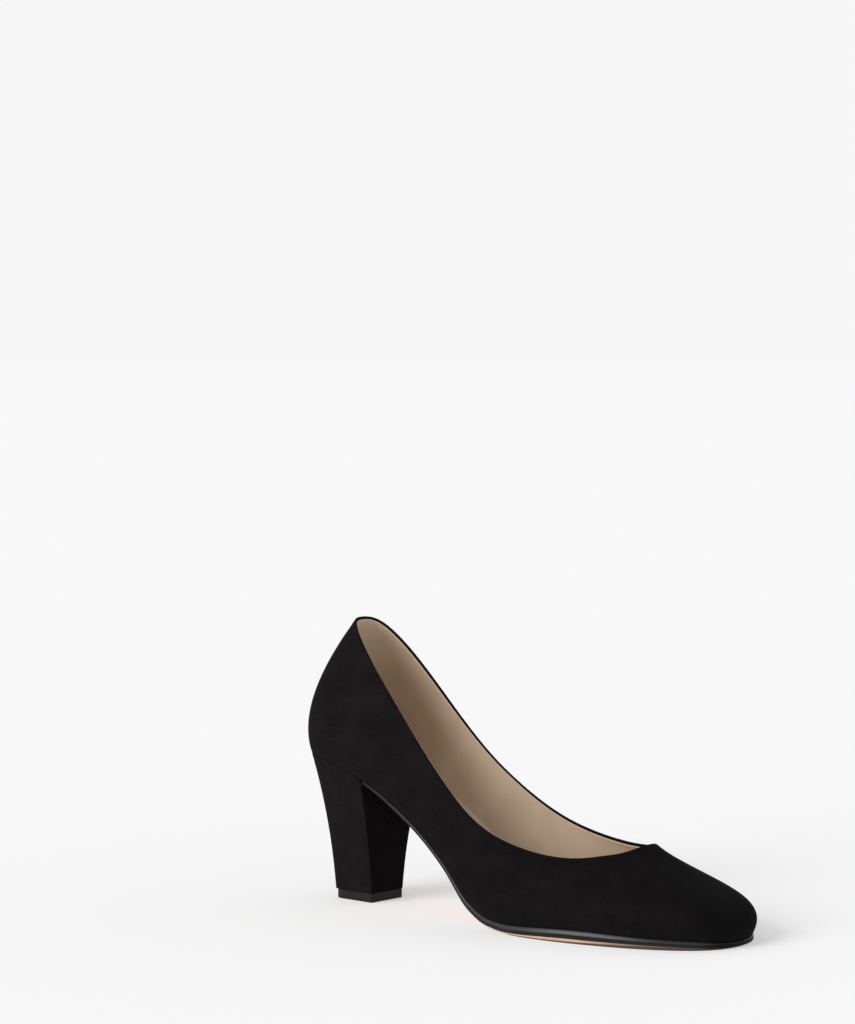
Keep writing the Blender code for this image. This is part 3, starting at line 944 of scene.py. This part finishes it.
# Tread
# The tan underside of the sole. It shows as a thin strip below the inked edge along the forefoot, and thins
# out under the waist, where the ink covers the whole edge.
TREAD_CORNER_STEPS = 7
TREAD_CLEAR = 0.00003
tread_out = tread_at(sole_along, "out") - edge_start
tread_round = tread_at(sole_along, "round")
tread_paths = [sole_path(tread_out, ink_foot - TREAD_CLEAR)]
for turn in np.linspace(0, math.pi / 2, TREAD_CORNER_STEPS):
    corner_out = tread_out - tread_round * (1 - math.cos(turn))
    tread_paths.append(sole_path(corner_out, sole_ground + tread_round * (1 - math.sin(turn))))

TAN_PALE = (0.580, 0.365, 0.250)
TAN_DEEP = (0.460, 0.280, 0.180)
UNDER_PALE = (0.400, 0.290, 0.215)
UNDER_DEEP = (0.310, 0.220, 0.160)
# Painted shade: the edge strip darkens to this towards the toe.
TAN_SHADED_AT_TOE = (0.130, 0.092, 0.072)
TREAD_SHADE_FROM = 0.052
TREAD_SHADE_TO = 0.090
FACES_DOWN = -0.97
FACES_OUT = -0.80
TREAD_ROUGHNESS = 0.62
TREAD_SHINE = 0.35
TREAD_CLOUD = 0.010
TREAD_GRIT = 0.0007
TREAD_TONE_SHARES = (0.6, 0.4)
TREAD_DEPTH = 0.00008
TREAD_RELIEF = 0.5

# Painted shade: the lower part of the strip is painted brown as contact shade, over a height that grows
# towards the toe.
CONTACT_SHADE_BROWN = (0.066, 0.039, 0.027)
CONTACT_SHADE_TOP = 0.00006
CONTACT_SHADE_SLOPE = 0.0158
CONTACT_SHADE_SOFTNESS = 0.00018


def tread_finish(name):
    """Tan moulded sole, lightly mottled; its edge strip is brighter, with painted shade at toe and foot."""
    material, tree, shader, place = new_finish(name, TREAD_ROUGHNESS, TREAD_SHINE)
    cloud = speckle(tree, place, TREAD_CLOUD, detail=RICH_DETAIL)
    grit = speckle(tree, place, TREAD_GRIT, detail=PLAIN_DETAIL)
    tone = weighed(tree, (cloud, grit), TREAD_TONE_SHARES)
    spot = add_node(tree, "ShaderNodeSeparateXYZ", Vector=place)
    on_edge = share_between(tree, facing(tree, "Z"), FACES_DOWN, FACES_OUT)
    # Painted shade: the edge strip darkens towards the toe.
    toe_shade = product(tree, on_edge, share_between(tree, spot.outputs["X"], TREAD_SHADE_FROM, TREAD_SHADE_TO))
    # Painted shade: brown contact shade along the foot of the edge, rising towards the toe.
    rise = weighed(tree, (spot.outputs["Z"], spot.outputs["X"]), (1, -CONTACT_SHADE_SLOPE))
    low = share_between(tree, rise, CONTACT_SHADE_TOP - CONTACT_SHADE_SOFTNESS, CONTACT_SHADE_TOP + CONTACT_SHADE_SOFTNESS, 1, 0)
    under = blend_of(tree, tone, UNDER_DEEP, UNDER_PALE)
    tan = mixed(tree, on_edge, under, blend_of(tree, tone, TAN_DEEP, TAN_PALE))
    tan = mixed(tree, toe_shade, tan, TAN_SHADED_AT_TOE)
    tree.links.new(mixed(tree, product(tree, on_edge, low), tan, CONTACT_SHADE_BROWN), shader.inputs["Base Color"])
    add_relief(tree, shader, grit, TREAD_DEPTH, TREAD_RELIEF)
    return material


tread = sewn_piece("outsole_tread", plate_grids(tread_paths), tread_finish("tan_tread"))
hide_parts("outsole")

# Top lift
# The wearing tip under the heel: a block of black rubber, nailed on from below. It is a little smaller than
# the covered heel, most of all at the back.
LIFT_BEVEL = 0.00035
LIFT_BEVEL_BEND = LIFT_BEVEL * 0.3
LIFT_CORNER = 0.0006
RUBBER_DARK = (0.004, 0.004, 0.004)
RUBBER_DUSTY = (0.009, 0.009, 0.009)
RUBBER_ROUGHNESS = 0.55
RUBBER_SHINE = 0.19
RUBBER_TRIM = 0.0005
RUBBER_STRETCH = (1, 1, 6)
RUBBER_CLOUD = 0.004
RUBBER_TONE_SHARES = (0.5, 0.5)
RUBBER_DEPTH = 0.00005
RUBBER_RELIEF = 0.5
lift_plan = heel_ring(
    tip_side(LIFT_INSET, LIFT_BACK_INSET, -1), tip_side(LIFT_INSET, LIFT_BACK_INSET, 1), LIFT_CORNER,
)
lift_ring = np.column_stack([lift_plan, np.zeros(len(lift_plan))])
lift_rings = [
    shrunk(lift_ring, LIFT_BEVEL, 0),
    shrunk(lift_ring, LIFT_BEVEL_BEND, LIFT_BEVEL_BEND),
    shrunk(lift_ring, 0, LIFT_BEVEL),
    shrunk(lift_ring, 0, LIFT_HEIGHT / 2),
    shrunk(lift_ring, 0, LIFT_HEIGHT),
]
lift_grids = [wrapped(lift_rings), across(lift_rings[0], 1), across(lift_rings[-1], 1)]


def rubber_finish(name):
    """Black rubber, dull and faintly dusty from trimming."""
    material, tree, shader, place = new_finish(name, RUBBER_ROUGHNESS, RUBBER_SHINE)
    trim = speckle(tree, place, RUBBER_TRIM, RUBBER_STRETCH, PLAIN_DETAIL)
    cloud = speckle(tree, place, RUBBER_CLOUD)
    tone = weighed(tree, (trim, cloud), RUBBER_TONE_SHARES)
    tree.links.new(blend_of(tree, tone, RUBBER_DARK, RUBBER_DUSTY), shader.inputs["Base Color"])
    add_relief(tree, shader, trim, RUBBER_DEPTH, RUBBER_RELIEF)
    return material


top_lift = sewn_piece("top_lift_rubber", lift_grids, rubber_finish("black_rubber"))
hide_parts("top_lift")

# Floor and light
# A wide, plain pale floor under an even studio sky that is brightest at the horizon, so that floor and
# background run together. One broad soft light comes from the front left, over the outer side of the shoe.
FLOOR_RADIUS = 30.0
FLOOR_SIDES = 96
FLOOR_WHITE = (0.74, 0.74, 0.74)
FLOOR_GLOW = 0.36
SKY_HORIZON = 0.93
SKY_ZENITH = 0.25
SKY_EVEN_TO = 0.20
KEY_STRENGTH = 1.9
KEY_SPREAD = math.radians(36)
KEY_FROM = Vector((-0.35, -1.00, 0.52))

bm = bmesh.new()
bmesh.ops.create_circle(bm, cap_ends=True, segments=FLOOR_SIDES, radius=FLOOR_RADIUS)
floor_mesh = bpy.data.meshes.new("floor")
bm.to_mesh(floor_mesh)
bm.free()
floor_paint, _, floor_shader, _ = new_finish("pale_floor", 1.0, 0.0)
floor_shader.inputs["Base Color"].default_value = (*FLOOR_WHITE, 1)
floor_shader.inputs["Emission Color"].default_value = (1, 1, 1, 1)
floor_shader.inputs["Emission Strength"].default_value = FLOOR_GLOW
floor_mesh.materials.append(floor_paint)
floor = bpy.data.objects.new("floor", floor_mesh)
bpy.context.collection.objects.link(floor)

world = bpy.data.worlds.new("studio")
bpy.context.scene.world = world
world.use_nodes = True
sky = world.node_tree
direction = sky.nodes.new("ShaderNodeTexCoord").outputs["Generated"]
upness = add_node(sky, "ShaderNodeSeparateXYZ", Vector=direction).outputs["Z"]
glow = share_between(sky, upness, SKY_EVEN_TO, 1, SKY_HORIZON, SKY_ZENITH)
sky.links.new(glow, sky.nodes["Background"].inputs["Strength"])
sky.nodes["Background"].inputs["Color"].default_value = (1, 1, 1, 1)

key_lamp = bpy.data.lights.new("key", "SUN")
key_lamp.energy = KEY_STRENGTH
key_lamp.angle = KEY_SPREAD
key = bpy.data.objects.new("key", key_lamp)
key.rotation_mode = "QUATERNION"
key.rotation_quaternion = KEY_FROM.to_track_quat("Z", "Y")
bpy.context.collection.objects.link(key)
bpy.context.scene.view_settings.view_transform = "Standard"

# Camera
# It stands low in front of the outer side of the shoe, about 1.45 metres away and turned towards the toe,
# as in the photo.
CAMERA_PLACE = Vector((0.84855, -1.15290, 0.25930))
CAMERA_AIM = Vector((-0.04075, -0.01540, 0.17970))
CAMERA_LENS = 114.17
CAMERA_SENSOR = 36

camera_data = bpy.data.cameras.new("camera")
camera_data.lens = CAMERA_LENS
camera_data.sensor_width = CAMERA_SENSOR
camera = bpy.data.objects.new("camera", camera_data)
camera.location = CAMERA_PLACE
camera.rotation_mode = "QUATERNION"
camera.rotation_quaternion = (CAMERA_AIM - CAMERA_PLACE).to_track_quat("-Z", "Y")
bpy.context.collection.objects.link(camera)
bpy.context.scene.camera = camera
